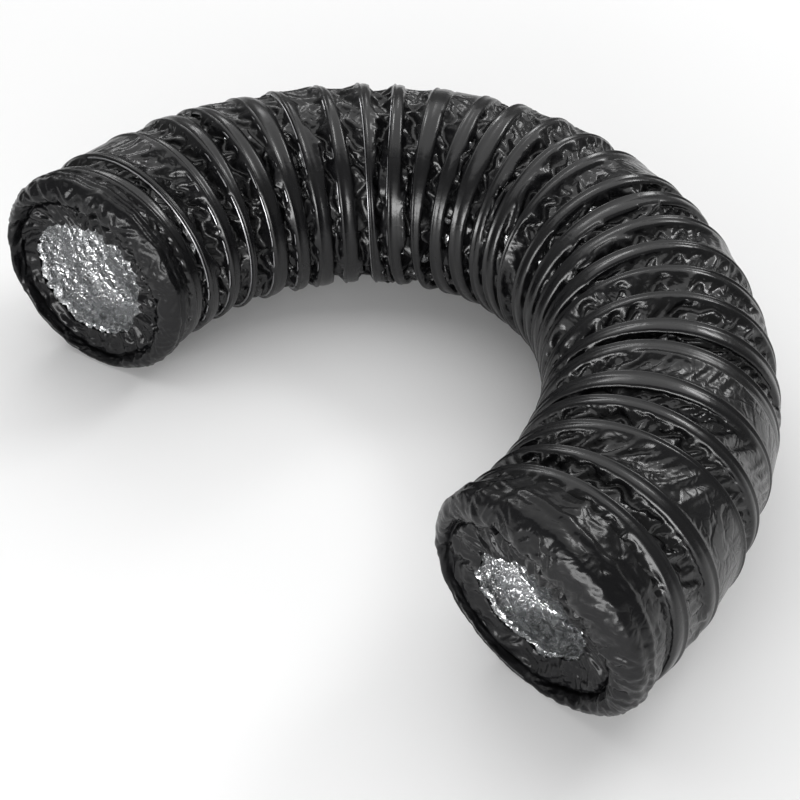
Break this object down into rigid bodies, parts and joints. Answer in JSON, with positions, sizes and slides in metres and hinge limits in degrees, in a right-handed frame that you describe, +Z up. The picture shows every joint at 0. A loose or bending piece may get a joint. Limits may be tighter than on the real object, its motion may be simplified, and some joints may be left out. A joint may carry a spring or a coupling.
{
  "type": "flexible air duct",
  "caption": "Ribbed flexible air duct of black film over a wire helix with a foil liner, lying in a wide C with both mouths open and turned in.",
  "frame": {"origin": "on the floor, under the middle of the duct's outline", "axes": "+Z up; +Y across the open side of the C towards the back of its arch; +X towards the side where the arch runs down to the right mouth"},
  "size_m": [0.5644, 0.5958, 0.1588],
  "materials": {
    "black_film": "glossy, creased PVC film",
    "turned_film": "glossy film turned in at the mouth, softly folded",
    "foil": "crinkled bright foil",
    "spring_steel": "drawn spring wire"
  },
  "bodies": {
    "segment_01": {"jacket_01": "black_film", "liner_01": "foil", "wire_01": "spring_steel", "cuff_left": "turned_film"},
    "segment_02": {"jacket_02": "black_film", "liner_02": "foil", "wire_02": "spring_steel"},
    "segment_03": {"jacket_03": "black_film", "liner_03": "foil", "wire_03": "spring_steel"},
    "segment_04": {"jacket_04": "black_film", "liner_04": "foil", "wire_04": "spring_steel"},
    "segment_05": {"jacket_05": "black_film", "liner_05": "foil", "wire_05": "spring_steel"},
    "segment_06": {"jacket_06": "black_film", "liner_06": "foil", "wire_06": "spring_steel"},
    "segment_07": {"jacket_07": "black_film", "liner_07": "foil", "wire_07": "spring_steel"},
    "segment_08": {"jacket_08": "black_film", "liner_08": "foil", "wire_08": "spring_steel"},
    "segment_09": {"jacket_09": "black_film", "liner_09": "foil", "wire_09": "spring_steel"},
    "segment_10": {"jacket_10": "black_film", "liner_10": "foil", "wire_10": "spring_steel"},
    "segment_11": {"jacket_11": "black_film", "liner_11": "foil", "wire_11": "spring_steel"},
    "segment_12": {"jacket_12": "black_film", "liner_12": "foil", "wire_12": "spring_steel"},
    "segment_13": {"jacket_13": "black_film", "liner_13": "foil", "wire_13": "spring_steel"},
    "segment_14": {"jacket_14": "black_film", "liner_14": "foil", "wire_14": "spring_steel"},
    "segment_15": {"jacket_15": "black_film", "liner_15": "foil", "wire_15": "spring_steel", "cuff_right": "turned_film"}
  },
  "joints": [
    {"name": "bend_01_02", "type": "hinge", "parent": "segment_02", "child": "segment_01", "pos_m": [-0.17778, 0.13106, 0.07941], "axis": [0, 0, -1], "range_deg": [-5, 22], "deforming": ["jacket_01", "liner_01", "jacket_02", "liner_02"]},
    {"name": "stretch_02_03", "type": "slide", "parent": "segment_03", "child": "segment_02", "axis": [-0.7922, -0.6103, 0], "range_m": [-0.012, 0.022], "deforming": ["jacket_02", "liner_02", "jacket_03", "liner_03"]},
    {"name": "bend_03_04", "type": "hinge", "parent": "segment_04", "child": "segment_03", "pos_m": [-0.08823, 0.19987, 0.07941], "axis": [0, 0, -1], "range_deg": [-5, 22], "deforming": ["jacket_03", "liner_03", "jacket_04", "liner_04"]},
    {"name": "lift_04_05", "type": "hinge", "parent": "segment_05", "child": "segment_04", "pos_m": [-0.03376, 0.21612, 0.07941], "axis": [-0.1595, 0.9872, 0], "range_deg": [-15, 15], "deforming": ["jacket_04", "liner_04", "jacket_05", "liner_05"]},
    {"name": "bend_05_06", "type": "hinge", "parent": "segment_06", "child": "segment_05", "pos_m": [0.02304, 0.2174, 0.07941], "axis": [0, 0, -1], "range_deg": [-5, 22], "deforming": ["jacket_05", "liner_05", "jacket_06", "liner_06"]},
    {"name": "bend_06_07", "type": "hinge", "parent": "segment_07", "child": "segment_06", "pos_m": [0.07775, 0.2022, 0.07941], "axis": [0, 0, -1], "range_deg": [-5, 22], "deforming": ["jacket_06", "liner_06", "jacket_07", "liner_07"]},
    {"name": "stretch_07_08", "type": "slide", "parent": "segment_08", "child": "segment_07", "axis": [-0.7462, 0.6657, 0], "range_m": [-0.012, 0.022], "deforming": ["jacket_07", "liner_07", "jacket_08", "liner_08"]},
    {"name": "bend_08_09", "type": "hinge", "parent": "segment_08", "child": "segment_09", "pos_m": [0.16215, 0.12781, 0.07941], "axis": [0, 0, 1], "range_deg": [-5, 22], "deforming": ["jacket_08", "liner_08", "jacket_09", "liner_09"]},
    {"name": "bend_09_10", "type": "hinge", "parent": "segment_09", "child": "segment_10", "pos_m": [0.18735, 0.07683, 0.07941], "axis": [0, 0, 1], "range_deg": [-5, 22], "deforming": ["jacket_09", "liner_09", "jacket_10", "liner_10"]},
    {"name": "lift_10_11", "type": "hinge", "parent": "segment_10", "child": "segment_11", "pos_m": [0.2006, 0.02151, 0.07941], "axis": [-0.9918, -0.1282, 0], "range_deg": [-15, 15], "deforming": ["jacket_10", "liner_10", "jacket_11", "liner_11"]},
    {"name": "bend_11_12", "type": "hinge", "parent": "segment_11", "child": "segment_12", "pos_m": [0.20209, -0.03538, 0.07941], "axis": [0, 0, 1], "range_deg": [-5, 22], "deforming": ["jacket_11", "liner_11", "jacket_12", "liner_12"]},
    {"name": "stretch_12_13", "type": "slide", "parent": "segment_12", "child": "segment_13", "axis": [-0.2629, -0.9648, 0], "range_m": [-0.012, 0.022], "deforming": ["jacket_12", "liner_12", "jacket_13", "liner_13"]},
    {"name": "bend_13_14", "type": "hinge", "parent": "segment_13", "child": "segment_14", "pos_m": [0.17246, -0.14477, 0.07941], "axis": [0, 0, 1], "range_deg": [-5, 22], "deforming": ["jacket_13", "liner_13", "jacket_14", "liner_14"]},
    {"name": "bend_14_15", "type": "hinge", "parent": "segment_14", "child": "segment_15", "pos_m": [0.14337, -0.1937, 0.07941], "axis": [0, 0, 1], "range_deg": [-5, 22], "deforming": ["jacket_14", "liner_14", "jacket_15", "liner_15"]}
  ],
  "couplings": [
    {"joint": "stretch_02_03", "follows": "stretch_07_08", "ratio": 1},
    {"joint": "stretch_12_13", "follows": "stretch_07_08", "ratio": 1}
  ]
}
